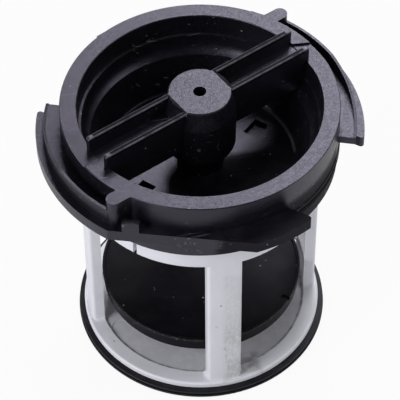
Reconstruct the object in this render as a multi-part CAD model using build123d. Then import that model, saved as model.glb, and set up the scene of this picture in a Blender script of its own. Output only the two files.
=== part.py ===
from build123d import *
import os
from math import atan2, cos, degrees, hypot, radians, sin, sqrt

os.makedirs("parts", exist_ok=True)

# Drain-pump filter, in millimetres. The axis is Z and the cage's base stands on Z = 0.
# Posts stand on the X and Y axes. Bearings are degrees from +X, anticlockwise from above.
# Every feature of the cap comes twice, half a turn apart.
half_turns = (0, 180)
post_bearings = (0, 90, 180, 270)

# Fits between the pieces
hoop_clearance = 0.3
hoop_top_clearance = 0.7
hub_clearance = 0.2
clip_clearance = 0.1
disc_clearance = 1.25
seal_slack = 0.05

# Small roundings used all over
fine_rounding = 0.2
soft_rounding = 0.4

# Cage: foot with its seal seat, and floor
base_lip_height = 0.8
base_lip_width = 2.4
base_lip_setback = 0.3
seal_seat_height = 1.9
seal_seat_depth = 1.3
foot_rim_height = 1.8
foot_reach = 0.9
foot_rim_rounding = 0.65
floor_recess_depth = 2.0
cage_floor_thickness = 2.0
ejector_mark_radius = 2.4
ejector_mark_depth = 0.15
ejector_mark_distance = 25.0
ejector_mark_bearing = 198.4

# Cage: posts, windows and hoop
hoop_radius = 31.0
hoop_thickness = 1.8
window_height = 47.5
window_edge_rounding = 0.5
band_height = 9.2
post_width = 9.0
post_thickness = 3.1
post_edge_rounding = 1.1
post_foot_rounding = 1.0
post_pad_height = 3.0
snap_ridge_rise = 2.5
snap_ridge_height = 1.4
snap_ridge_depth = 0.5
slit_bearing = -133.4
slit_width = 1.1

# Cap: skirt, from its lower end up to the ring face
pocket_depth = 6.3
skirt_wall = 1.7
collar_height = 3.8
collar_rounding = 0.4
seal_groove_height = 2.7
seal_groove_depth = 1.8
flange_thickness = 3.3
bead_height = 0.9
bead_depth = 0.3
ring_overhang = 0.2
ring_height = 8.0
ring_width = 4.3
ring_edge_chamfer = 0.2

# Cap: cup inside the ring
cup_wall_draft = 0.3
cup_step_depth = 6.1
cup_step_width = 0.6
cup_step_rise = 0.25
cup_cove_depth = 9.6
cup_cove_inset = 0.35
cup_cove_rounding = 4.5
cup_shoulder_depth = 11.2
cup_shoulder_inset = 2.1
cup_shoulder_rounding = 0.5
cup_depth = 21.0
cup_floor_inset = 2.8
cup_floor_rounding = 1.1
cup_floor_thickness = 2.2
cup_wall_thickness = 1.5

# Cap: handle bar and boss
bar_bearing = 24.8
bar_half_width = 4.3
bar_end_reach = 0.5
rib_thickness = 1.25
rib_stand = 4.0
rib_sink = 8.6
rib_corner_rounding = 0.5
rib_edge_chamfer = 0.2
channel_depth = 0.8
web_thickness = 1.5
web_end_reach = 0.3
boss_top_radius = 7.85
boss_top_rounding = 0.3
boss_radius = 9.1
boss_draft_height = 5.5
boss_shoulder_rounding = 1.5
boss_height = 17.5
boss_underside_rounding = 2.4
column_radius = 6.0
column_neck_height = 3.0
column_rounding = 1.5
bore_radius = 1.65
bore_depth = 12.0
core_radius = 3.6
core_roof = 3.0

# Cap: shallow ramp pressed in the ring face, ending in a step that crosses the ring askew to the bar
face_ramp_length = 11.9
face_ramp_depth = 0.6
face_ramp_tip = 2.4
face_ramp_skew = -29.0

# Cap: blind pockets in the cup's floor
floor_pocket_length = 4.1
floor_pocket_width = 5.5
floor_pocket_depth = 1.4
floor_pocket_radius = 17.8
floor_pocket_bearing = 204.3
floor_pocket_turn = -46.3

# Cap: flange lobes, with parallel-sided gaps between them and a flat cut on each
flange_reach = 6.3
flange_corner_rounding = 0.8
gap_bearing = -39.3
gap_half_width = 14.5
flat_bearing = -108.3
flat_reach = 2.1
tooth_start = -14.6
tooth_width = 4.2
tooth_depth = 1.6
tooth_height = 3.1

# Cap: ramped lugs, each a channel closed by a stop tab that lies along the bar's bearing
lug_reach = 4.3
lug_wall_thickness = 0.7
lug_floor_height = 1.3
lug_low_height = 1.5
lug_wall_height = 4.8
lug_start_bearing = 159.5
lug_ramp_end_bearing = 198.7
tab_offset = 13.05
tab_half_width = 1.9
tab_stand = 4.67
tab_root_fillet = 0.9
tab_root_spread = 6.0

# Cap seal ring
cap_seal_bulge = 0.5
cap_seal_rounding = 1.0

# Flange seal ring
upper_lip_reach = 1.4
upper_lip_drop = 0.6
lower_lip_reach = 1.55
lower_lip_rise = 0.1
lip_height = 0.55
lip_slope = 0.1
lip_rounding = 0.15
lip_valley_reach = 0.7
seal_underside_level = 0.2
seal_underside_width = 0.4

# End disc
disc_rise = 12.5
disc_rim_width = 0.9
disc_rim_height = 0.4
disc_skirt_height = 4.0
disc_draft = 0.3
disc_wall = 1.6
rim_notch_bearing = -39.7
rim_notch_width = 1.3
rim_notch_length = 2.2
rim_notch_depth = 0.5
hub_radius = 11.0
hub_wall = 1.6
hub_shoulder_width = 2.0
hub_shoulder_height = 1.2
clip_height = 1.4
clip_depth = 0.5
disc_web_count = 6
disc_web_thickness = 1.5

# Reach of cutting tools past the solid they cut
past = 1.0

# Levels that follow, from the base up
foot_underside_level = base_lip_height + seal_seat_height
window_bottom = foot_underside_level + foot_rim_height
cage_floor_top = floor_recess_depth + cage_floor_thickness
window_top = window_bottom + window_height
collar_bottom = window_top + band_height
pocket_top = collar_bottom + pocket_depth
groove_bottom = collar_bottom + collar_height
flange_bottom = groove_bottom + seal_groove_height
flange_top = flange_bottom + flange_thickness
ring_top = flange_top + ring_height
rib_top = ring_top + rib_stand
cup_floor_level = ring_top - cup_depth

# Radii that follow, from the hoop out and in
pocket_radius = hoop_radius + hoop_clearance
seal_groove_radius = pocket_radius + skirt_wall
collar_radius = seal_groove_radius + seal_groove_depth
ring_outer_radius = collar_radius + ring_overhang
ring_inner_radius = ring_outer_radius - ring_width
flange_radius = ring_outer_radius + flange_reach
flat_distance = ring_outer_radius + flat_reach
lug_radius = ring_outer_radius + lug_reach
hoop_inner_radius = hoop_radius - hoop_thickness
post_inner_radius = hoop_radius - post_thickness
foot_radius = hoop_radius + foot_reach
seal_seat_radius = foot_radius - seal_seat_depth
base_lip_radius = foot_radius - base_lip_setback
disc_radius = post_inner_radius - disc_clearance
tab_reach = sqrt(ring_outer_radius**2 - tab_offset**2) + tab_stand


def point_at(radius, bearing):
    return (radius * cos(radians(bearing)), radius * sin(radians(bearing)))


def turned(*corners):
    # A ring or disc from its half section, given as (radius, height, corner rounding)
    points = [(radius, height) for radius, height, rounding in corners]
    roundings = [rounding for radius, height, rounding in corners]
    outline = FilletPolyline(*points, radius=roundings, close=True)
    return revolve(make_face(Plane.XZ * outline), axis=Axis.Z)


def tube(outer, inner, bottom, top):
    height = top - bottom
    wall = Cylinder(outer, height) - Cylinder(inner, height + 2 * past)
    return Pos(0, 0, bottom + height / 2) * wall


def block(x_range, y_range, z_range):
    # A box between two values on each axis
    sizes = [high - low for low, high in (x_range, y_range, z_range)]
    centre = [(high + low) / 2 for low, high in (x_range, y_range, z_range)]
    return Pos(*centre) * Box(*sizes)


def turn(solid, bearing):
    return Rot(0, 0, bearing) * solid


def sector(start, end, bottom, top):
    # A wedge of space from one bearing to another, wider than the flange
    reach = flange_radius * 2
    middle = (start + end) / 2
    corners = [(0, 0)] + [point_at(reach, bearing) for bearing in (start, middle, end)]
    face = make_face(Polyline(*corners, close=True))
    return extrude(Pos(0, 0, bottom) * face, top - bottom)


def cap_body():
    cup_outer_radius = hoop_inner_radius - hoop_clearance
    cup_underside = cup_floor_level - cup_floor_thickness
    cup_edge_radius = ring_inner_radius - cup_wall_draft
    cup_step_radius = cup_edge_radius - cup_step_width
    cup_shoulder_radius = cup_step_radius - cup_shoulder_inset
    cup_floor_radius = cup_shoulder_radius - cup_floor_inset
    step_level = ring_top - cup_step_depth
    cove_radius = cup_step_radius - cup_cove_inset
    recess_radius = pocket_radius + snap_ridge_depth + hoop_clearance / 2
    recess_middle = collar_bottom + snap_ridge_rise
    recess_half = snap_ridge_height / 2 + hoop_clearance
    return turned(
        (ring_outer_radius - ring_edge_chamfer, ring_top, 0),
        (ring_outer_radius, ring_top - ring_edge_chamfer, 0),
        (ring_outer_radius, flange_bottom + bead_height, 0),
        (ring_outer_radius + bead_depth, flange_bottom + bead_height - bead_depth, 0),
        (ring_outer_radius + bead_depth, flange_bottom, 0),
        (seal_groove_radius, flange_bottom, 0),
        (seal_groove_radius, groove_bottom, 0),
        (collar_radius, groove_bottom, collar_rounding),
        (collar_radius, collar_bottom, collar_rounding),
        (pocket_radius, collar_bottom, 0),
        (pocket_radius, recess_middle - recess_half, 0),
        (recess_radius, recess_middle - recess_half, 0),
        (recess_radius, recess_middle + recess_half, 0),
        (pocket_radius, recess_middle + recess_half, 0),
        (pocket_radius, pocket_top, 0),
        (cup_outer_radius, pocket_top, 0),
        (cup_floor_radius + cup_wall_thickness, cup_underside, cup_floor_rounding),
        (0, cup_underside, 0),
        (0, cup_floor_level, 0),
        (cup_floor_radius, cup_floor_level, cup_floor_rounding),
        (cup_shoulder_radius, ring_top - cup_shoulder_depth, cup_shoulder_rounding),
        (cove_radius, ring_top - cup_cove_depth, cup_cove_rounding),
        (cup_step_radius, step_level, 0),
        (cup_edge_radius, step_level + cup_step_rise, 0),
        (ring_inner_radius, ring_top - ring_edge_chamfer, 0),
        (ring_inner_radius + ring_edge_chamfer, ring_top, 0),
    )


def face_ramp():
    # What is taken off the ring face: a thin wedge whose deep end is the step
    wedge = make_face(Plane.YZ * Polyline(
        (0, ring_top - face_ramp_depth),
        (-face_ramp_length, ring_top),
        (-face_ramp_length, ring_top + past),
        (0, ring_top + past),
        close=True,
    ))
    tip = Pos(ring_inner_radius + web_end_reach, face_ramp_tip, 0)
    across_ring = extrude(Pos(-ring_width, 0, 0) * wedge, 4 * ring_width, dir=(1, 0, 0))
    return turn(tip * Rot(0, 0, face_ramp_skew) * across_ring, bar_bearing)


def handle_bar():
    # Two upright ribs with a web between them, sunk below the ring face
    half_length = ring_inner_radius + bar_end_reach
    web_half_length = ring_inner_radius + web_end_reach
    foot_half_length = web_half_length - past
    rib_face = make_face(Plane.XZ * FilletPolyline(
        (-half_length, ring_top - past),
        (-half_length, rib_top),
        (half_length, rib_top),
        (half_length, ring_top - past),
        (foot_half_length, ring_top - rib_sink),
        (-foot_half_length, ring_top - rib_sink),
        radius=(0, rib_corner_rounding, rib_corner_rounding, 0, 0, 0),
        close=True,
    ))
    rib = extrude(rib_face, rib_thickness, dir=(0, -1, 0))
    rib = chamfer(rib.edges().filter_by(Axis.X).group_by(Axis.Z)[-1], rib_edge_chamfer)
    near_rib = Pos(0, -bar_half_width + rib_thickness, 0) * rib
    far_rib = Pos(0, bar_half_width, 0) * rib
    web_top = ring_top - channel_depth
    web_edge = bar_half_width - rib_thickness / 2
    web = block(
        (-web_half_length, web_half_length),
        (-web_edge, web_edge),
        (web_top - web_thickness, web_top),
    )
    return turn(near_rib + far_rib + web, bar_bearing)


def channel_cut():
    # Opens the ring's inner edge where the sunk channel runs into it
    reach = ring_inner_radius + web_end_reach
    side = bar_half_width - rib_thickness
    cut = block((-reach, reach), (-side, side), (ring_top - channel_depth, ring_top + past))
    return turn(cut, bar_bearing)


def boss():
    column_bottom = cup_floor_level - cup_floor_thickness / 2
    return turned(
        (0, rib_top, 0),
        (boss_top_radius, rib_top, boss_top_rounding),
        (boss_radius, rib_top - boss_draft_height, boss_shoulder_rounding),
        (boss_radius, rib_top - boss_height, boss_underside_rounding),
        (column_radius, rib_top - boss_height - column_neck_height, column_rounding),
        (column_radius, column_bottom, 0),
        (0, column_bottom, 0),
    )


def boss_bores():
    # The bore in the boss, and the core that hollows the column from below
    bore = Pos(0, 0, rib_top - bore_depth / 2) * Cylinder(bore_radius, bore_depth)
    core_top = rib_top - bore_depth - core_roof
    core_bottom = cup_floor_level - cup_floor_thickness - past
    core_height = core_top - core_bottom
    return bore + Pos(0, 0, core_bottom + core_height / 2) * Cylinder(core_radius, core_height)


def floor_pockets():
    x, y = point_at(floor_pocket_radius, floor_pocket_bearing)
    pocket = Box(floor_pocket_length, floor_pocket_width, 2 * floor_pocket_depth)
    placed = Pos(x, y, cup_floor_level) * turn(pocket, floor_pocket_turn)
    return [turn(placed, half) for half in half_turns]


def flange_lobes():
    plate = tube(flange_radius, seal_groove_radius + past, flange_bottom, flange_top)
    levels = (flange_bottom - past, flange_top + past)
    far = flange_radius + past
    gap = block((0, far), (-gap_half_width, gap_half_width), levels)
    flat = block((flat_distance, far), (-flange_radius, flange_radius), levels)
    for half in half_turns:
        plate -= turn(gap, gap_bearing + half)
        plate -= turn(flat, flat_bearing + half)
    uprights = plate.edges().filter_by(Axis.Z)
    rim_corners = [edge for edge in uprights
                   if hypot(edge.center().X, edge.center().Y) > flange_radius - past]
    return fillet(rim_corners, flange_corner_rounding)


def stop_teeth():
    tooth = block(
        (flat_distance - tooth_depth, flat_distance),
        (tooth_start, tooth_start + tooth_width),
        (flange_bottom, flange_top + tooth_height),
    )
    return [turn(tooth, flat_bearing + half) for half in half_turns]


def lug():
    floor_level = flange_top + lug_floor_height
    wall_top = flange_top + lug_wall_height
    low_top = flange_top + lug_low_height
    floor = tube(lug_radius - lug_wall_thickness / 2, ring_outer_radius - past, flange_top - past, floor_level)
    wall = tube(lug_radius, lug_radius - lug_wall_thickness, flange_top - past, wall_top)
    # The lug runs on into the middle of its stop tab
    tab_bearing = bar_bearing + 180 + degrees(atan2(tab_offset, tab_reach - tab_half_width))
    reach = sector(lug_start_bearing, tab_bearing, flange_bottom, rib_top)
    # The wall's top falls in a flat ramp from the ramp's end back to the lug's open end
    run = lug_radius * sin(radians(lug_ramp_end_bearing - lug_start_bearing))
    ramp = make_face(Plane.YZ * Polyline(
        (0, wall_top),
        (-run, low_top),
        (-run - past, low_top),
        (-run - past, wall_top + past),
        (0, wall_top + past),
        close=True,
    ))
    above_ramp = turn(extrude(ramp, flange_radius, dir=(1, 0, 0)), lug_ramp_end_bearing)
    return ((floor + wall) & reach) - above_ramp


def stop_tab():
    # A finger with a full round end and a hollow root, drawn along -X and turned to the bar's bearing
    inner = -tab_offset + tab_half_width
    outer = -tab_offset - tab_half_width
    root_x = -sqrt(ring_outer_radius**2 - outer**2)
    root_bearing = degrees(atan2(outer, root_x)) + tab_root_spread
    buried_radius = ring_outer_radius - past
    outline = FilletPolyline(
        (root_x + tab_half_width, inner),
        (-tab_reach, inner),
        (-tab_reach, outer),
        (root_x, outer),
        point_at(ring_outer_radius, root_bearing),
        point_at(buried_radius, root_bearing),
        radius=(0, tab_half_width * 0.999, tab_half_width * 0.999, tab_root_fillet, 0, 0),
        close=True,
    )
    finger = extrude(Pos(0, 0, flange_bottom) * make_face(outline), ring_top - flange_bottom)
    return turn(finger, bar_bearing)


def bayonet_cap():
    cap = cap_body() - face_ramp() - turn(face_ramp(), 180)
    cap = cap - channel_cut() + handle_bar() + boss() - boss_bores()
    cap = cap + flange_lobes()
    for pocket in floor_pockets():
        cap -= pocket
    for tooth in stop_teeth():
        cap += tooth
    for half in half_turns:
        cap += turn(lug() + stop_tab(), half)
    return cap


def cap_seal_ring():
    bottom = groove_bottom + seal_slack
    top = flange_bottom - seal_slack
    bulge_radius = collar_radius + cap_seal_bulge
    return turned(
        (seal_groove_radius, bottom, 0),
        (bulge_radius, bottom, cap_seal_rounding),
        (bulge_radius, top, cap_seal_rounding),
        (seal_groove_radius, top, 0),
    )


def cage_shell():
    # The cage before its windows are cut: hoop, wall, foot and floor in one section
    hoop_top = pocket_top - hoop_top_clearance
    ridge_middle = collar_bottom + snap_ridge_rise
    ridge_half = snap_ridge_height / 2
    ridge_radius = hoop_radius + snap_ridge_depth
    post_top = window_top + post_pad_height
    base_lip_inner_radius = base_lip_radius - base_lip_width
    floor_bore_radius = hub_radius + hub_clearance
    return turned(
        (hoop_inner_radius, hoop_top, 0),
        (hoop_radius, hoop_top, 0),
        (hoop_radius, ridge_middle + ridge_half, 0),
        (ridge_radius, ridge_middle + ridge_half / 2, 0),
        (ridge_radius, ridge_middle - ridge_half / 2, 0),
        (hoop_radius, ridge_middle - ridge_half, 0),
        (hoop_radius, window_bottom, 0),
        (foot_radius, window_bottom, foot_rim_rounding),
        (foot_radius, foot_underside_level, fine_rounding),
        (seal_seat_radius, foot_underside_level, 0),
        (seal_seat_radius, base_lip_height, 0),
        (base_lip_radius, base_lip_height, 0),
        (base_lip_radius, 0, fine_rounding),
        (base_lip_inner_radius, 0, fine_rounding),
        (base_lip_inner_radius, floor_recess_depth, soft_rounding),
        (floor_bore_radius, floor_recess_depth, 0),
        (floor_bore_radius, cage_floor_top, 0),
        (post_inner_radius, cage_floor_top, fine_rounding),
        (post_inner_radius, post_top, 0),
        (hoop_inner_radius, post_top + hoop_thickness, 0),
    )


def window_ring():
    # The windows' section turned, so that the band above them gets a rounded lower edge
    reach = hoop_radius + 2 * past
    edge_top = window_top + window_edge_rounding
    edge_start = (hoop_radius - window_edge_rounding, window_top)
    edge = TangentArc(edge_start, (hoop_radius, edge_top), tangent=(1, 0))
    sides = Polyline(
        (hoop_radius, edge_top),
        (reach, edge_top),
        (reach, window_bottom),
        (0, window_bottom),
        (0, window_top),
        edge_start,
    )
    return revolve(make_face(Plane.XZ * (edge + sides)), axis=Axis.Z)


def window_block():
    # One quarter of the wall between two posts, with its lower corners rounded
    side = post_width / 2
    reach = hoop_radius + past
    cut = block((side, reach), (side, reach), (window_bottom, window_top + past))
    lower = cut.edges().group_by(Axis.Z)[0]
    corners = lower.group_by(Axis.X)[0] + lower.group_by(Axis.Y)[0]
    return fillet(corners, post_foot_rounding)


def post_edge_cut():
    # What rounds one long outer edge of the post on +X
    side = post_width / 2
    reach = hoop_radius + past
    centre_y = side - post_edge_rounding
    centre_x = sqrt((hoop_radius - post_edge_rounding) ** 2 - centre_y**2)
    bearing = degrees(atan2(centre_y, centre_x))
    touch = point_at(hoop_radius, bearing)
    edge = TangentArc((centre_x, side), touch, tangent=(1, 0))
    sides = Polyline(
        touch,
        point_at(reach, bearing),
        (reach, side + post_foot_rounding),
        (centre_x, side + post_foot_rounding),
        (centre_x, side),
    )
    face = make_face(edge + sides)
    return extrude(Pos(0, 0, window_bottom - past) * face, window_height + 2 * past)


def post_pad_cut():
    # Above the windows the wall is only as thick as the hoop, except behind the posts
    side = post_width / 2
    band = tube(hoop_inner_radius, post_inner_radius - post_thickness, window_top - past, ring_top)
    corner = block((side, hoop_radius), (side, hoop_radius), (window_top - past, ring_top))
    return band & corner


def hoop_slits():
    reach = (hoop_inner_radius - past, hoop_radius + snap_ridge_depth + past)
    slit = block(reach, (-slit_width / 2, slit_width / 2), (window_top - past, groove_bottom))
    return [turn(slit, slit_bearing + half) for half in half_turns]


def strainer_cage():
    cage = cage_shell()
    ring = window_ring()
    window = window_block() & ring
    near_edge = post_edge_cut() & ring
    far_edge = mirror(near_edge, about=Plane.XZ)
    for cut in (window, post_pad_cut(), near_edge, far_edge):
        for bearing in post_bearings:
            cage -= turn(cut, bearing)
    for slit in hoop_slits():
        cage -= slit
    mark = Pos(0, 0, cage_floor_top) * Cylinder(ejector_mark_radius, 2 * ejector_mark_depth)
    for half in half_turns:
        x, y = point_at(ejector_mark_distance, ejector_mark_bearing + half)
        cage -= Pos(x, y, 0) * mark
    return cage


def flange_seal_ring():
    top = foot_underside_level - seal_slack
    seat_top = base_lip_height + seal_slack
    half_lip = lip_height / 2
    upper_radius = foot_radius + upper_lip_reach
    lower_radius = foot_radius + lower_lip_reach
    valley_radius = foot_radius + lip_valley_reach
    upper_level = foot_underside_level - upper_lip_drop
    lower_level = base_lip_height + lower_lip_rise
    inner_radius = base_lip_radius + seal_slack
    return turned(
        (seal_seat_radius, top, 0),
        (foot_radius, top, 0),
        (upper_radius, upper_level + half_lip, lip_rounding),
        (upper_radius, upper_level - half_lip, lip_rounding),
        (valley_radius, upper_level - half_lip - lip_slope, 0),
        (valley_radius, lower_level + half_lip + lip_slope, 0),
        (lower_radius, lower_level + half_lip, lip_rounding),
        (lower_radius, lower_level - half_lip, lip_rounding),
        (base_lip_radius + seal_underside_width, seal_underside_level, 0),
        (inner_radius, seal_underside_level, 0),
        (inner_radius, seat_top, 0),
        (seal_seat_radius, seat_top, 0),
    )


def end_disc():
    rim_top = cage_floor_top + disc_rise
    skirt_bottom = rim_top - disc_skirt_height
    face = rim_top - disc_rim_height
    inside = face - disc_wall
    low_radius = disc_radius - disc_draft
    bore_radius_below = hub_radius - hub_wall
    shoulder_radius = hub_radius + hub_shoulder_width
    shoulder_top = cage_floor_top + hub_shoulder_height
    clip_top = floor_recess_depth - clip_clearance
    hub_bottom = floor_recess_depth - clip_height
    disc = turned(
        (0, face, 0),
        (disc_radius - disc_rim_width, face, 0),
        (disc_radius - disc_rim_width, rim_top, fine_rounding),
        (disc_radius, rim_top, fine_rounding),
        (low_radius, skirt_bottom, 0),
        (low_radius - disc_wall, skirt_bottom, 0),
        (low_radius - disc_wall, inside, 0),
        (hub_radius, inside, 0),
        (hub_radius, shoulder_top, 0),
        (shoulder_radius, shoulder_top, 0),
        (shoulder_radius, cage_floor_top, 0),
        (hub_radius, cage_floor_top, 0),
        (hub_radius, clip_top, 0),
        (hub_radius + clip_depth, clip_top, 0),
        (hub_radius, hub_bottom, 0),
        (bore_radius_below, hub_bottom, 0),
        (bore_radius_below, inside, 0),
        (0, inside, 0),
    )
    web = block(
        (hub_radius - hub_wall / 2, low_radius - disc_wall / 2),
        (-disc_web_thickness / 2, disc_web_thickness / 2),
        (skirt_bottom + fine_rounding, inside + disc_wall / 2),
    )
    for count in range(disc_web_count):
        disc += turn(web, count * 360 / disc_web_count)
    notch = block(
        (disc_radius - rim_notch_length, disc_radius + past),
        (-rim_notch_width / 2, rim_notch_width / 2),
        (face - rim_notch_depth, rim_top + past),
    )
    return disc - turn(notch, rim_notch_bearing)


pieces = {
    "bayonet_cap": bayonet_cap,
    "cap_seal_ring": cap_seal_ring,
    "strainer_cage": strainer_cage,
    "end_disc": end_disc,
    "flange_seal_ring": flange_seal_ring,
}

for name, build in pieces.items():
    solid = build()
    export_step(solid, f"parts/{name}.step")
    print(name, round(solid.volume / 1000, 2), "cm3", len(solid.solids()), "solid")
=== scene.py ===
import math

import bpy
from mathutils import Matrix, Vector


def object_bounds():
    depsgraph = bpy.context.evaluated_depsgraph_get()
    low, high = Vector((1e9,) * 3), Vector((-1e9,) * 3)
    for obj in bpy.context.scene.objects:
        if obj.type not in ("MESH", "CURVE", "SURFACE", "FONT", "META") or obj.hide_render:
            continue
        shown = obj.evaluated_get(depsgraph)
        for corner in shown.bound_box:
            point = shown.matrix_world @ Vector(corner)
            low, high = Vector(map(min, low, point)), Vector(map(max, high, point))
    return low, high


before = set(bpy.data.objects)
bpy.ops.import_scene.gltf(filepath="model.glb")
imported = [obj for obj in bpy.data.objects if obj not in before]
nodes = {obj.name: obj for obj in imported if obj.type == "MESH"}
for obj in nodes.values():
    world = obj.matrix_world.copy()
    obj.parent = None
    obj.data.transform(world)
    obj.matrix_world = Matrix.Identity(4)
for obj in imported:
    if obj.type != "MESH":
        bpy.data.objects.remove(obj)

cadLow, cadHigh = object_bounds()
print("frame loaded:", sorted(nodes))


# small helpers for node trees; all lengths are metres

def addNode(tree, kind, **settings):
    node = tree.nodes.new(kind)
    for key, value in settings.items():
        setattr(node, key, value)
    return node


def feed(tree, source, target):
    # a socket is linked, anything else is set as the socket's own value
    if isinstance(source, bpy.types.NodeSocket):
        tree.links.new(source, target)
    else:
        target.default_value = source


def mathNode(tree, operation, first, second=0.0, clamp=False):
    node = addNode(tree, "ShaderNodeMath", operation=operation, use_clamp=clamp)
    feed(tree, first, node.inputs[0])
    feed(tree, second, node.inputs[1])
    return node.outputs[0]


def multiply(tree, first, *others):
    for other in others:
        first = mathNode(tree, "MULTIPLY", first, other)
    return first


def strongest(tree, first, *others):
    for other in others:
        first = mathNode(tree, "MAXIMUM", first, other)
    return first


def vectorNode(tree, operation, *sources):
    node = addNode(tree, "ShaderNodeVectorMath", operation=operation)
    for socket, source in zip(node.inputs, sources):
        feed(tree, source, socket)
    return node.outputs


def separate(tree, vector):
    node = addNode(tree, "ShaderNodeSeparateXYZ")
    feed(tree, vector, node.inputs[0])
    return node.outputs


def mapRange(tree, value, low, high, toLow=0.0, toHigh=1.0):
    node = addNode(tree, "ShaderNodeMapRange", interpolation_type="SMOOTHSTEP")
    for socket, source in zip(node.inputs[:5], (value, low, high, toLow, toHigh)):
        feed(tree, source, socket)
    return node.outputs[0]


def blend(tree, mask, value, goal):
    # a number that goes from one value to another as the mask goes from 0 to 1
    return mapRange(tree, mask, 0.0, 1.0, value, goal)


def mixColor(tree, amount, colorA, colorB):
    node = addNode(tree, "ShaderNodeMix", data_type="RGBA")
    feed(tree, amount, node.inputs[0])
    feed(tree, colorA, node.inputs[6])
    feed(tree, colorB, node.inputs[7])
    return node.outputs[2]


def stretched(tree, coords, scale=(1.0, 1.0, 1.0), turn=(0.0, 0.0, 0.0)):
    node = addNode(tree, "ShaderNodeMapping")
    feed(tree, coords, node.inputs["Vector"])
    node.inputs["Rotation"].default_value = turn
    node.inputs["Scale"].default_value = scale
    return node.outputs[0]


def noise(tree, coords, scale=1.0, detail=3.0, roughness=0.55, distortion=0.0):
    node = addNode(tree, "ShaderNodeTexNoise")
    feed(tree, coords, node.inputs["Vector"])
    feed(tree, scale, node.inputs["Scale"])
    node.inputs["Detail"].default_value = detail
    node.inputs["Roughness"].default_value = roughness
    node.inputs["Distortion"].default_value = distortion
    return node.outputs["Fac"]


def newGroup(name, inputs, outputs=("Mask",)):
    # an input whose value is None is the object coordinates
    tree = bpy.data.node_groups.new(name, "ShaderNodeTree")
    for label, value in inputs.items():
        vector = value is None or isinstance(value, tuple)
        kind = "NodeSocketVector" if vector else "NodeSocketFloat"
        socket = tree.interface.new_socket(label, in_out="INPUT", socket_type=kind)
        if value is not None:
            socket.default_value = value
    for label in outputs:
        tree.interface.new_socket(label, in_out="OUTPUT", socket_type="NodeSocketFloat")
    given = addNode(tree, "NodeGroupInput").outputs
    made = addNode(tree, "NodeGroupOutput").inputs
    return tree, given, made


def useGroup(tree, group, **values):
    node = addNode(tree, "ShaderNodeGroup", node_tree=group)
    for label, value in values.items():
        feed(tree, value, node.inputs[label])
    return node.outputs


def maskOf(tree, group, coords, **values):
    return useGroup(tree, group, Coords=coords, **values)[0]


# effects that several materials share, each a node group

def makeMouldedSurface():
    # fine spark-eroded grain and the broad unevenness of a moulded wall
    tree, given, made = newGroup(
        "mouldedSurface",
        {"Coords": None, "GrainScale": 4500.0, "WaveScale": 160.0, "WaveShare": 0.5},
        ("Height", "Mottle"),
    )
    coords = given["Coords"]
    grain = noise(tree, coords, given["GrainScale"], detail=2.0, roughness=0.6)
    wave = noise(tree, coords, given["WaveScale"], detail=4.0, roughness=0.5, distortion=0.3)
    height = mathNode(tree, "ADD", grain, multiply(tree, wave, given["WaveShare"]))
    feed(tree, height, made["Height"])
    feed(tree, mapRange(tree, wave, low=0.3, high=0.7), made["Mottle"])
    return tree


scratchLook = {
    # each direction: how it is turned, and how far its lines are drawn out
    "directions": (((0.0, 0.0, 0.45), (60.0, 2600.0, 700.0)), ((0.2, 0.0, -0.9), (90.0, 3100.0, 900.0))),
    "lineRange": (0.70, 0.76), "patchScale": 95.0, "patchRange": (0.48, 0.62),
}


def makeScratches(look):
    # hair-thin scuffs in two directions, broken up so that they come in patches
    tree, given, made = newGroup("scratches", {"Coords": None, "Amount": 0.5})
    coords = given["Coords"]
    lines = []
    for turn, scale in look["directions"]:
        streak = noise(tree, stretched(tree, coords, scale, turn), detail=1.0, roughness=0.4)
        lines.append(mapRange(tree, streak, *look["lineRange"]))
    patchNoise = noise(tree, coords, look["patchScale"], detail=2.0)
    worn = multiply(tree, strongest(tree, *lines), mapRange(tree, patchNoise, *look["patchRange"]))
    feed(tree, mathNode(tree, "MULTIPLY", worn, given["Amount"], clamp=True), made["Mask"])
    return tree


speckLook = {"raggedScale": 2500.0, "raggedDepth": 0.16, "smallest": 0.35, "edge": 0.02}


def makeSpecks(look):
    # scattered small crumbs or stains, each a rough dot of its own size
    tree, given, made = newGroup("specks", {"Coords": None, "Scale": 260.0, "Share": 0.1, "Size": 0.12})
    coords = given["Coords"]
    cells = addNode(tree, "ShaderNodeTexVoronoi", feature="F1")
    feed(tree, coords, cells.inputs["Vector"])
    feed(tree, given["Scale"], cells.inputs["Scale"])
    random = addNode(tree, "ShaderNodeSeparateColor")
    feed(tree, cells.outputs["Color"], random.inputs[0])
    chosen = mathNode(tree, "LESS_THAN", random.outputs[0], given["Share"])
    ragged = multiply(tree, noise(tree, coords, look["raggedScale"], detail=2.0), look["raggedDepth"])
    ragged = mathNode(tree, "SUBTRACT", ragged, look["raggedDepth"] / 2)
    distance = mathNode(tree, "ADD", cells.outputs["Distance"], ragged)
    ownSize = mathNode(tree, "ADD", random.outputs[1], look["smallest"])
    inside = mathNode(tree, "SUBTRACT", multiply(tree, given["Size"], ownSize), distance)
    feed(tree, multiply(tree, mapRange(tree, inside, 0.0, look["edge"]), chosen), made["Mask"])
    return tree


dustLook = {
    "filmScale": 220.0, "floorGreyRange": (0.42, 0.75), "filmShare": 0.6,
    "gritScale": 3800.0, "gritRange": (0.60, 0.72), "gritShare": 0.8,
    "upwardRange": (0.2, 0.9, 0.25, 1.0),
}


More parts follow.
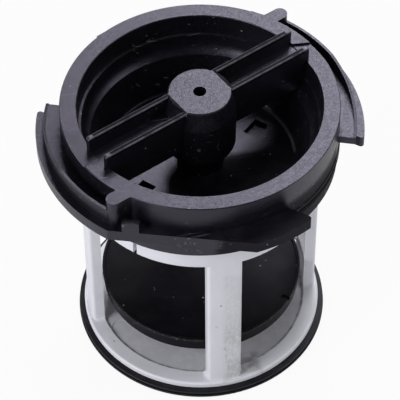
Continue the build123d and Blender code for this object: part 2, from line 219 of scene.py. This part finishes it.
def makeDust(look):
    # a thin pale film that lies on faces that look up
    tree, given, made = newGroup("dust", {"Coords": None, "Upward": 0.0, "Amount": 0.3})
    coords = given["Coords"]
    film = noise(tree, coords, look["filmScale"], detail=5.0, roughness=0.65)
    film = multiply(tree, mapRange(tree, film, *look["floorGreyRange"]), look["filmShare"])
    grit = noise(tree, coords, look["gritScale"], detail=2.0, roughness=0.6)
    grit = multiply(tree, mapRange(tree, grit, *look["gritRange"]), look["gritShare"])
    facing = mapRange(tree, given["Upward"], *look["upwardRange"])
    lying = multiply(tree, mathNode(tree, "ADD", film, grit), facing)
    feed(tree, mathNode(tree, "MULTIPLY", lying, given["Amount"], clamp=True), made["Mask"])
    return tree


def makeBlock():
    # 1 inside a block of the object, fading out over a soft edge
    tree, given, made = newGroup(
        "block", {"Coords": None, "Centre": (0.0, 0.0, 0.0), "Half": (0.01, 0.01, 0.01), "Edge": 0.0003}
    )
    offset = vectorNode(tree, "SUBTRACT", given["Coords"], given["Centre"])[0]
    away = vectorNode(tree, "ABSOLUTE", offset)[0]
    room = separate(tree, vectorNode(tree, "SUBTRACT", given["Half"], away)[0])
    least = mathNode(tree, "MINIMUM", room[0], mathNode(tree, "MINIMUM", room[1], room[2]))
    feed(tree, mapRange(tree, least, 0.0, given["Edge"]), made["Mask"])
    return tree


def makeRingBand():
    # 1 between two radii about the axis, above a level
    tree, given, made = newGroup(
        "ringBand", {"Coords": None, "Inner": 0.025, "Outer": 0.027, "Level": 0.0, "Edge": 0.0002}
    )
    x, y, z = separate(tree, given["Coords"])
    squares = mathNode(tree, "ADD", multiply(tree, x, x), multiply(tree, y, y))
    radius = mathNode(tree, "SQRT", squares)
    insideInner = mathNode(tree, "SUBTRACT", radius, given["Inner"])
    insideOuter = mathNode(tree, "SUBTRACT", given["Outer"], radius)
    aboveLevel = mathNode(tree, "SUBTRACT", z, given["Level"])
    room = mathNode(tree, "MINIMUM", mathNode(tree, "MINIMUM", insideInner, insideOuter), aboveLevel)
    feed(tree, mapRange(tree, room, 0.0, given["Edge"]), made["Mask"])
    return tree


mouldedSurface = makeMouldedSurface()
scratches = makeScratches(scratchLook)
specks = makeSpecks(speckLook)
dust = makeDust(dustLook)
block = makeBlock()
ringBand = makeRingBand()
print("node groups built")


def startMaterial(name):
    material = bpy.data.materials.new(name)
    material.use_nodes = True
    tree = material.node_tree
    shader = tree.nodes["Principled BSDF"]
    coords = addNode(tree, "ShaderNodeTexCoord").outputs["Object"]
    return material, tree, shader, coords


def addBump(tree, shader, height, look):
    bump = addNode(tree, "ShaderNodeBump")
    bump.inputs["Strength"].default_value = look["bump"]
    bump.inputs["Distance"].default_value = look["bumpDepth"]
    feed(tree, height, bump.inputs["Height"])
    feed(tree, bump.outputs[0], shader.inputs["Normal"])


spotLook = {"raggedScale": 3000.0, "raggedDepth": 0.0003, "edge": (0.00008, 0.00020)}


def spots(tree, coords, places, look=spotLook):
    # rough dots at stated places: centre and radius
    ragged = multiply(tree, noise(tree, coords, look["raggedScale"], detail=2.0), look["raggedDepth"])
    near, far = look["edge"]
    dots = []
    for centre, radius in places:
        away = vectorNode(tree, "DISTANCE", coords, centre)["Value"]
        away = mathNode(tree, "ADD", away, ragged)
        dots.append(mapRange(tree, away, radius + near, radius + far, 1.0, 0.0))
    return strongest(tree, *dots)


capLook = {
    "color": (0.0034, 0.0031, 0.0050, 1), "paleColor": (0.0052, 0.0048, 0.0074, 1),
    "scuffColor": (0.14, 0.14, 0.16, 1), "dustColor": (0.24, 0.24, 0.27, 1),
    "roughness": (0.275, 0.37), "ior": 1.58, "specularTint": (0.80, 0.75, 1.0, 1),
    "dust": 0.05, "scratches": 0.5, "bump": 0.7, "bumpDepth": 0.00006, "waveScale": 1500.0,
    "gritScale": 620.0, "gritShare": 0.10, "gritAmount": 0.45, "gritColor": (0.40, 0.40, 0.44, 1),
    "bar": {
        # places and half sizes of blocks round the bar's two arms, measured along its bearing
        "bearing": math.radians(24.8), "armPlace": (0.0182, 0.0, 0.083),
        "armHalf": (0.0100, 0.0058, 0.0085), "channelHalf": (0.0100, 0.0036, 0.0085),
        "topHalf": (0.0115, 0.0058, 0.0012),
        "bossPlace": (0.0, 0.0, 0.0735), "bossHalf": (0.0082, 0.0082, 0.0091),
        "softEdge": 0.0002, "roughness": 0.40, "topGloss": 0.03, "sideGloss": 0.25,
        # the ribs' top edges: distance from the bar's middle line, and half the width of their painted
        # highlight
        "ribEdges": (0.00318, 0.00418), "highlightHalf": (0.00008, 0.00024),
        "highlightRadii": (0.0080, 0.0320), "highlightLevel": 0.0825,
        "highlightScale": 500.0, "highlightRange": (0.30, 0.60, 0.35, 1.0),
        "highlightColor": (0.12, 0.115, 0.14, 1),
    },
    # a painted highlight arc where the cup's floor turns up into its wall
    "arc": {
        "radii": (0.0238, 0.0248), "radialEdge": 0.0004,
        "place": (0.0220, 0.0062, 0.0590), "half": (0.0042, 0.0095, 0.0025), "softEdge": 0.0015,
        "color": (0.06, 0.058, 0.07, 1),
    },
    "dullSide": {
        "blocks": (
            ((0.0205, -0.0290, 0.0630), (0.0255, 0.0155, 0.0115)),
            ((0.0205, -0.0215, 0.0585), (0.0255, 0.0230, 0.0085)),
        ),
        "softEdge": 0.004, "roughness": 0.60, "gloss": 0.13,
    },
}


def highlightOnRibEdges(tree, coords, look):
    # painted highlight: the long top edges of the cross bar's two ribs are painted paler
    along = separate(tree, stretched(tree, coords, turn=(0.0, 0.0, -look["bearing"])))
    across = mathNode(tree, "ABSOLUTE", along["Y"])
    lines = []
    for edge in look["ribEdges"]:
        away = mathNode(tree, "ABSOLUTE", mathNode(tree, "SUBTRACT", across, edge))
        lines.append(mapRange(tree, away, *look["highlightHalf"], 1.0, 0.0))
    inner, outer = look["highlightRadii"]
    onTop = maskOf(tree, ringBand, coords, Inner=inner, Outer=outer, Level=look["highlightLevel"])
    broken = noise(tree, coords, look["highlightScale"], detail=4.0, roughness=0.7)
    broken = mapRange(tree, broken, *look["highlightRange"])
    return multiply(tree, strongest(tree, *lines), onTop, broken)


def highlightArc(tree, coords, look):
    # painted highlight: a pale arc where the cup's floor turns up into its wall
    inner, outer = look["radii"]
    ring = maskOf(tree, ringBand, coords, Inner=inner, Outer=outer, Edge=look["radialEdge"])
    near = maskOf(tree, block, coords, Centre=look["place"], Half=look["half"], Edge=look["softEdge"])
    return multiply(tree, ring, near)


def duller(tree, coords, roughness, bar, dullSide):
    # the cross bar is coarser than the ring, and its tops, sides and boss shine less
    along = stretched(tree, coords, turn=(0.0, 0.0, -bar["bearing"]))
    edge = bar["softEdge"]
    gloss = 0.5  # the shader's own specular level
    x, y, z = bar["armPlace"]
    for centre in ((-x, y, z), (x, y, z)):
        arm = maskOf(tree, block, along, Centre=centre, Half=bar["armHalf"], Edge=edge)
        roughness = blend(tree, arm, roughness, bar["roughness"])
        channel = maskOf(tree, block, along, Centre=centre, Half=bar["channelHalf"], Edge=edge)
        sides = mathNode(tree, "SUBTRACT", arm, channel, clamp=True)
        gloss = blend(tree, sides, gloss, bar["sideGloss"])
        top = maskOf(tree, block, along, Centre=centre, Half=bar["topHalf"], Edge=edge)
        gloss = blend(tree, top, gloss, bar["topGloss"])
    boss = maskOf(tree, block, coords, Centre=bar["bossPlace"], Half=bar["bossHalf"], Edge=edge)
    gloss = blend(tree, boss, gloss, bar["sideGloss"])
    # the flange and the collar are duller on the right, as in the photo
    parts = [
        maskOf(tree, block, coords, Centre=centre, Half=half, Edge=dullSide["softEdge"])
        for centre, half in dullSide["blocks"]
    ]
    worn = strongest(tree, *parts)
    roughness = blend(tree, worn, roughness, dullSide["roughness"])
    return roughness, blend(tree, worn, gloss, dullSide["gloss"])


def lintOnDisc(tree, coords, look):
    # the disc's rim has a fringe of fuzz, and a few crumbs lie on the disc
    inner, outer = look["fuzzRing"]
    rim = maskOf(tree, ringBand, coords, Inner=inner, Outer=outer, Level=look["fuzzLevel"])
    fuzz = noise(tree, coords, look["fuzzScale"], detail=4.0, roughness=0.8)
    fuzz = mapRange(tree, fuzz, *look["fuzzRange"])
    return strongest(tree, multiply(tree, rim, fuzz), spots(tree, coords, look["crumbs"]))


blackGrain = {"grainScale": 4200.0, "waveShare": 0.7, "gritSize": 0.13, "dustRoughness": 0.5}


def makeBlackPlastic(name, look, grain=blackGrain):
    material, tree, shader, coords = startMaterial(name)
    surface = useGroup(tree, mouldedSurface, Coords=coords, GrainScale=grain["grainScale"],
                       WaveScale=look["waveScale"], WaveShare=grain["waveShare"])
    upward = separate(tree, addNode(tree, "ShaderNodeNewGeometry").outputs["Normal"])["Z"]
    scuffs = maskOf(tree, scratches, coords, Amount=look["scratches"])
    film = maskOf(tree, dust, coords, Upward=upward, Amount=look["dust"])
    grit = maskOf(tree, specks, coords, Scale=look["gritScale"], Share=look["gritShare"],
                  Size=grain["gritSize"])
    if "lint" in look:
        grit = strongest(tree, grit, lintOnDisc(tree, coords, look["lint"]))
    color = mixColor(tree, surface["Mottle"], look["color"], look["paleColor"])
    color = mixColor(tree, scuffs, color, look["scuffColor"])
    color = mixColor(tree, film, color, look["dustColor"])
    color = mixColor(tree, multiply(tree, grit, look["gritAmount"]), color, look["gritColor"])
    roughness = blend(tree, surface["Mottle"], *look["roughness"])
    dusty = multiply(tree, film, grain["dustRoughness"])
    roughness = mathNode(tree, "ADD", roughness, dusty, clamp=True)
    if "bar" in look:
        bar, arc = look["bar"], look["arc"]
        # painted highlights along the rib edges and round the cup's floor edge
        color = mixColor(tree, highlightOnRibEdges(tree, coords, bar), color, bar["highlightColor"])
        color = mixColor(tree, highlightArc(tree, coords, arc), color, arc["color"])
        roughness, gloss = duller(tree, coords, roughness, bar, look["dullSide"])
        feed(tree, gloss, shader.inputs["Specular IOR Level"])
    feed(tree, color, shader.inputs["Base Color"])
    feed(tree, roughness, shader.inputs["Roughness"])
    shader.inputs["IOR"].default_value = look["ior"]
    shader.inputs["Specular Tint"].default_value = look["specularTint"]
    addBump(tree, shader, surface["Height"], look)
    return material


cageLook = {
    "color": (0.73, 0.735, 0.80, 1), "shadeColor": (0.69, 0.695, 0.76, 1),
    "grainScale": 3800.0, "waveScale": 120.0, "waveShare": 0.8,
    "roughness": (0.30, 0.42), "ior": 1.5, "bump": 0.15, "bumpDepth": 0.00005,
    "stains": {"Scale": 420.0, "Share": 0.12, "Size": 0.14}, "stainAmount": 0.35,
    "dots": {"Scale": 150.0, "Share": 0.05, "Size": 0.07}, "dotAmount": 0.8,
    "dotColor": (0.05, 0.048, 0.045, 1),
    "soil": {
        "color": (0.32, 0.32, 0.285, 1),
        "place": (0.0024, -0.0330, 0.026), "half": (0.0036, 0.0060, 0.0225), "softEdge": 0.0018,
        "streakScale": (1300.0, 1300.0, 700.0), "streakRange": (0.42, 0.54),
        "grainScale": 2300.0, "grainRange": (0.48, 0.58),
        "patchScale": (600.0, 600.0, 130.0), "patchRange": (0.34, 0.58, 0.45, 1.0),
        "fadeLevels": (0.018, 0.034), "amount": (0.48, 0.20),
    },
    "floor": {
        # the cage's floor lies under this height, and its corner with the foot between these radii
        "level": 0.0036, "underHalf": (0.04, 0.04, 0.0054), "underEdge": 0.0004,
        "cornerRing": (0.0271, 0.0281), "greyPastCorner": 0.0006,
        "floorGreyColor": (0.36, 0.35, 0.40, 1), "floorGreyAmount": 0.50, "floorGreyRange": (0.75, 1.0),
        # painted shade in the floor's corner with the foot, and a painted shadow beside the front post
        "cornerShadeColor": (0.17, 0.165, 0.16, 1), "cornerShadeAmount": 0.55,
        "brokenScale": 420.0, "brokenRange": (0.35, 0.60),
        "postShadowPlace": (0.0070, -0.0268, 0.0050), "postShadowHalf": (0.0042, 0.0042, 0.0045),
        "postShadowEdge": 0.0022,
    },
    "pits": (
        ((-0.0011, -0.0310, 0.0361), 0.00026), ((-0.0050, -0.0306, 0.0093), 0.00024),
        ((0.0285, -0.0056, 0.0080), 0.00035),
    ),
    "pitAmount": 0.85,
}


def soilOnPost(tree, coords, look):
    # the right half of the front post is soiled in upright streaks, most of all low down
    half = maskOf(tree, block, coords, Centre=look["place"], Half=look["half"], Edge=look["softEdge"])
    streaks = noise(tree, stretched(tree, coords, look["streakScale"]), detail=4.0, roughness=0.75)
    streaks = mapRange(tree, streaks, *look["streakRange"])
    grains = noise(tree, coords, look["grainScale"], detail=2.0, roughness=0.7)
    grains = mapRange(tree, grains, *look["grainRange"])
    marks = mathNode(tree, "ADD", streaks, grains, clamp=True)
    patches = noise(tree, stretched(tree, coords, look["patchScale"]))
    patches = mapRange(tree, patches, *look["patchRange"])
    fading = mapRange(tree, separate(tree, coords)["Z"], *look["fadeLevels"], *look["amount"])
    return multiply(tree, half, marks, patches, fading)


def greyFloorAndShade(tree, coords, look):
    # the floor is darkened grey, with painted shade in its corner with the foot and a painted shadow
    # beside the front post
    broken = noise(tree, coords, look["brokenScale"], detail=4.0, roughness=0.6)
    broken = mapRange(tree, broken, *look["brokenRange"])
    under = maskOf(tree, block, coords, Half=look["underHalf"], Edge=look["underEdge"])
    inner, outer = look["cornerRing"]
    disc = maskOf(tree, ringBand, coords, Inner=-1.0, Outer=inner + look["greyPastCorner"],
                  Level=look["level"])
    film = multiply(tree, disc, under, blend(tree, broken, *look["floorGreyRange"]))
    corner = maskOf(tree, ringBand, coords, Inner=inner, Outer=outer, Level=look["level"])
    cornerShade = multiply(tree, corner, under, broken)
    postShadow = maskOf(tree, block, coords, Centre=look["postShadowPlace"], Half=look["postShadowHalf"],
                    Edge=look["postShadowEdge"])
    return film, strongest(tree, cornerShade, multiply(tree, postShadow, broken))


def makeWhitePlastic(name, look):
    material, tree, shader, coords = startMaterial(name)
    surface = useGroup(tree, mouldedSurface, Coords=coords, GrainScale=look["grainScale"],
                       WaveScale=look["waveScale"], WaveShare=look["waveShare"])
    soil, floor = look["soil"], look["floor"]
    film, cornerShade = greyFloorAndShade(tree, coords, floor)
    stains = maskOf(tree, specks, coords, **look["stains"])
    dots = maskOf(tree, specks, coords, **look["dots"])
    pits = spots(tree, coords, look["pits"])
    color = mixColor(tree, surface["Mottle"], look["color"], look["shadeColor"])
    for mask, amount, layer in (
        (stains, look["stainAmount"], soil["color"]),
        (dots, look["dotAmount"], look["dotColor"]),
        (soilOnPost(tree, coords, soil), 1.0, soil["color"]),
        # the floor darkened grey, then painted shade in its corner and a painted shadow by the front
        # post
        (film, floor["floorGreyAmount"], floor["floorGreyColor"]),
        (cornerShade, floor["cornerShadeAmount"], floor["cornerShadeColor"]),
        (pits, look["pitAmount"], look["dotColor"]),
    ):
        color = mixColor(tree, multiply(tree, mask, amount), color, layer)
    feed(tree, color, shader.inputs["Base Color"])
    feed(tree, blend(tree, surface["Mottle"], *look["roughness"]), shader.inputs["Roughness"])
    shader.inputs["IOR"].default_value = look["ior"]
    addBump(tree, shader, surface["Height"], look)
    return material


discLook = {
    "color": (0.0038, 0.0037, 0.0054, 1), "paleColor": (0.0060, 0.0058, 0.0082, 1),
    "scuffColor": (0.10, 0.10, 0.12, 1), "dustColor": (0.30, 0.31, 0.34, 1),
    "roughness": (0.34, 0.42), "ior": 1.15, "specularTint": (0.85, 0.83, 1.0, 1),
    "dust": 0.02, "scratches": 0.1, "bump": 0.2, "bumpDepth": 0.00006, "waveScale": 150.0,
    "gritScale": 520.0, "gritShare": 0.04, "gritAmount": 0.5, "gritColor": (0.45, 0.46, 0.50, 1),
    "lint": {
        "fuzzRing": (0.0262, 0.0269), "fuzzLevel": 0.0157,
        "fuzzScale": 2600.0, "fuzzRange": (0.46, 0.72, 0.0, 0.45),
        "crumbs": (
            ((-0.0142, -0.0069, 0.0161), 0.00010), ((-0.0140, -0.0064, 0.0161), 0.00012),
            ((-0.0141, -0.0059, 0.0161), 0.00008), ((-0.0115, -0.0097, 0.0161), 0.00005),
            ((-0.0085, -0.0176, 0.0161), 0.00008), ((-0.0020, -0.0135, 0.0161), 0.00010),
        ),
    },
}

rubberLook = {
    "color": (0.0045, 0.0043, 0.0058, 1), "paleColor": (0.0080, 0.0077, 0.0098, 1),
    "scuffColor": (0.08, 0.08, 0.09, 1), "dustColor": (0.3, 0.3, 0.32, 1),
    "roughness": (0.42, 0.55), "ior": 1.42, "specularTint": (0.86, 0.84, 1.0, 1),
    "dust": 0.05, "scratches": 0.1, "bump": 0.3, "bumpDepth": 0.00008, "waveScale": 200.0,
    "gritScale": 700.0, "gritShare": 0.04, "gritAmount": 0.4, "gritColor": (0.35, 0.35, 0.37, 1),
}

capSealLook = dict(rubberLook, roughness=(0.78, 0.9), ior=1.2, scratches=0.05, dust=0.02)

finishes = {
    "bayonet_cap": makeBlackPlastic("capPlastic", capLook),
    "cap_seal_ring": makeBlackPlastic("capSealRubber", capSealLook),
    "strainer_cage": makeWhitePlastic("cagePlastic", cageLook),
    "end_disc": makeBlackPlastic("discPlastic", discLook),
    "flange_seal_ring": makeBlackPlastic("flangeSealRubber", rubberLook),
}
for nodeName, material in finishes.items():
    piece = nodes[nodeName]
    piece.data.materials.clear()
    piece.data.materials.append(material)
print("materials on", len(finishes), "pieces")


def seenBy(tree, *rays):
    # 1 for the named kinds of ray
    path = addNode(tree, "ShaderNodeLightPath")
    return strongest(tree, *(path.outputs[ray] for ray in rays))


def mixShaders(tree, amount, first, second, output):
    mix = addNode(tree, "ShaderNodeMixShader")
    for socket, source in zip(mix.inputs, (amount, first.outputs[0], second.outputs[0])):
        feed(tree, source, socket)
    feed(tree, mix.outputs[0], tree.nodes[output].inputs[0])


floorLook = {
    "size": 6.0, "color": (0.60, 0.60, 0.61, 1), "paleColor": (0.64, 0.64, 0.65, 1),
    "mottleScale": 40.0, "roughness": 0.9, "glow": 0.93, "mirroredGlow": 0.40,
}


def makeFloor(look):
    half = look["size"] / 2
    mesh = bpy.data.meshes.new("floor")
    corners = [(-half, -half, 0), (half, -half, 0), (half, half, 0), (-half, half, 0)]
    mesh.from_pydata(corners, [], [(0, 1, 2, 3)])
    floor = bpy.data.objects.new("floor", mesh)
    bpy.context.scene.collection.objects.link(floor)
    material, tree, shader, coords = startMaterial("floorPaper")
    mottle = noise(tree, coords, look["mottleScale"], detail=4.0)
    feed(tree, mixColor(tree, mottle, look["color"], look["paleColor"]), shader.inputs["Base Color"])
    shader.inputs["Roughness"].default_value = look["roughness"]
    # mirrored in the black plastic the paper keeps more of its shadow, so it glows less there
    plain = multiply(tree, seenBy(tree, "Is Camera Ray", "Is Transmission Ray"), look["glow"])
    mirrored = multiply(tree, seenBy(tree, "Is Glossy Ray"), look["mirroredGlow"])
    glow = addNode(tree, "ShaderNodeEmission")
    mixShaders(tree, strongest(tree, plain, mirrored), shader, glow, "Material Output")
    mesh.materials.append(material)


# strengths at the horizon and overhead, and the heights of view between which they change
worldLook = {"fill": (0.95, 0.25), "backdrop": (1.0, 0.06), "overheadFrom": (0.10, 0.50)}


def makeWorld(look):
    # the paper sweep is pale all round, and the studio above it is dim
    world = bpy.data.worlds.new("studio")
    bpy.context.scene.world = world
    world.use_nodes = True
    tree = world.node_tree
    way = separate(tree, addNode(tree, "ShaderNodeTexCoord").outputs["Generated"])
    above = mapRange(tree, way["Z"], *look["overheadFrom"])
    fill, backdrop = tree.nodes["Background"], addNode(tree, "ShaderNodeBackground")
    for shader, strength in ((fill, look["fill"]), (backdrop, look["backdrop"])):
        shader.inputs["Color"].default_value = (1, 1, 1, 1)
        feed(tree, blend(tree, above, *strength), shader.inputs["Strength"])
    seen = seenBy(tree, "Is Camera Ray", "Is Glossy Ray", "Is Transmission Ray")
    mixShaders(tree, seen, fill, backdrop, "World Output")


lamps = {
    # direction the lamp stands in: azimuth from +X and elevation, in degrees
    "backSoftbox": {"azimuth": 67, "elevation": 47, "distance": 0.8, "size": 0.43, "power": 3.3},
    "leftSoftbox": {"azimuth": 203, "elevation": 30, "distance": 0.9, "size": 0.5, "power": 4.8},
    "rightSoftbox": {"azimuth": -15, "elevation": 35, "distance": 0.9, "size": 0.45, "power": 1.3},
}


def makeLamp(name, look, target):
    data = bpy.data.lights.new(name, "AREA")
    data.shape = "DISK"
    data.size = look["size"]
    data.energy = look["power"]
    lamp = bpy.data.objects.new(name, data)
    bpy.context.scene.collection.objects.link(lamp)
    azimuth, elevation = math.radians(look["azimuth"]), math.radians(look["elevation"])
    flat = math.cos(elevation)
    way = Vector((math.cos(azimuth) * flat, math.sin(azimuth) * flat, math.sin(elevation)))
    lamp.location = target + way * look["distance"]
    lamp.rotation_euler = (-way).to_track_quat("-Z", "Y").to_euler()


cameraLook = {
    "place": (-0.073605, -0.367617, 0.476993), "azimuth": -11.3, "tilt": 40.752, "roll": -0.446,
    "lens": 198.0, "sensor": 36.0, "clipStart": 0.02,
}


def makeCamera(look):
    data = bpy.data.cameras.new("camera")
    data.lens = look["lens"]
    data.sensor_width = look["sensor"]
    data.clip_start = look["clipStart"]
    camera = bpy.data.objects.new("camera", data)
    bpy.context.scene.collection.objects.link(camera)
    turn = Matrix.Rotation(math.radians(look["azimuth"]), 4, "Z")
    turn = turn @ Matrix.Rotation(math.radians(look["tilt"]), 4, "X")
    turn = turn @ Matrix.Rotation(math.radians(look["roll"]), 4, "Z")
    camera.matrix_world = Matrix.Translation(look["place"]) @ turn
    bpy.context.scene.camera = camera


makeFloor(floorLook)
makeWorld(worldLook)
middle = (cadLow + cadHigh) / 2
for name, look in lamps.items():
    makeLamp(name, look, middle)
makeCamera(cameraLook)
bpy.context.scene.view_settings.view_transform = "Standard"
print("stage, lamps and camera set")
